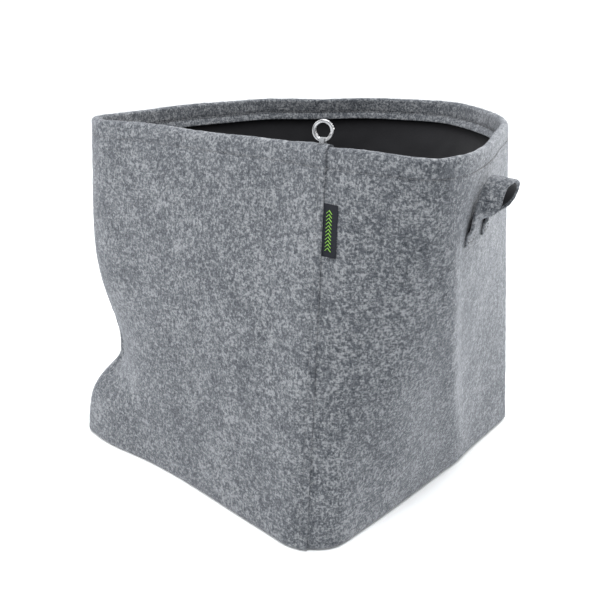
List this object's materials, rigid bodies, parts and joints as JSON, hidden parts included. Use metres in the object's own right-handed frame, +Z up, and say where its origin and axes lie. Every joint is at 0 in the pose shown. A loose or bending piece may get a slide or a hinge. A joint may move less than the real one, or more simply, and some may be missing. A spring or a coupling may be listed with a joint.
{
  "type": "fabric grow bag",
  "caption": "Square open-top planting bag of thick grey felt with a dark lining, a folded hem, two strap handles, a sewn-in side tag and a small hanging ring.",
  "frame": {"origin": "on the floor, under the middle of the square base", "axes": "+Z up; +X towards the right-hand wall and -Y towards the front wall, which meet near the lapped seam"},
  "size_m": [0.3871, 0.3423, 0.3169],
  "materials": {
    "grey_felt": "mottled needle-punched felt, matt with a fine fibre fuzz",
    "black_lining": "matt black nonwoven",
    "grey_thread": "twisted polyester thread and tape",
    "steel_wire": "bright nickel-plated spring wire",
    "woven_tag": "fine satin-woven ribbon"
  },
  "bodies": {
    "bag": {"wall_felt": "grey_felt", "wall_lining": "black_lining", "base_felt": "grey_felt", "base_lining": "black_lining", "hem_stitching_outside": "grey_thread", "hem_stitching_inside": "grey_thread", "base_stitching": "grey_thread", "seam_stitching": "grey_thread", "tag_tuck": "woven_tag", "right_handle_front_end_felt": "grey_felt", "right_handle_front_end_lining": "black_lining", "right_handle_front_end_stitching": "grey_thread", "right_handle_back_end_felt": "grey_felt", "right_handle_back_end_lining": "black_lining", "right_handle_back_end_stitching": "grey_thread", "left_handle_front_end_felt": "grey_felt", "left_handle_front_end_lining": "black_lining", "left_handle_front_end_stitching": "grey_thread", "left_handle_back_end_felt": "grey_felt", "left_handle_back_end_lining": "black_lining", "left_handle_back_end_stitching": "grey_thread", "ring_loop": "grey_thread"},
    "right_handle": {"right_handle_felt": "grey_felt", "right_handle_lining": "black_lining"},
    "left_handle": {"left_handle_felt": "grey_felt", "left_handle_lining": "black_lining"},
    "tag": {"tag_flag": "woven_tag"},
    "ring": {"split_ring": "steel_wire"}
  },
  "joints": [
    {"name": "right_handle_swing", "type": "hinge", "parent": "bag", "child": "right_handle", "pos_m": [0.19419, -0.02113, 0.2453], "axis": [-0.2335, 0.9724, 0], "range_deg": [-3, 95], "stiffness_Nm_per_rad": 0.006},
    {"name": "left_handle_swing", "type": "hinge", "parent": "bag", "child": "left_handle", "pos_m": [-0.15219, -0.00691, 0.2453], "axis": [-0.0913, -0.9958, 0], "range_deg": [-3, 95], "stiffness_Nm_per_rad": 0.006},
    {"name": "tag_flip", "type": "hinge", "parent": "bag", "child": "tag", "pos_m": [0.12428, -0.11481, 0.245], "axis": [0.042, -0.1095, -0.9931], "range_deg": [0, 95], "stiffness_Nm_per_rad": 0.0005},
    {"name": "ring_swing", "type": "hinge", "parent": "bag", "child": "ring", "pos_m": [0.11429, -0.10487, 0.30343], "axis": [0.9135, 0.4067, 0], "range_deg": [-80, 80]}
  ]
}
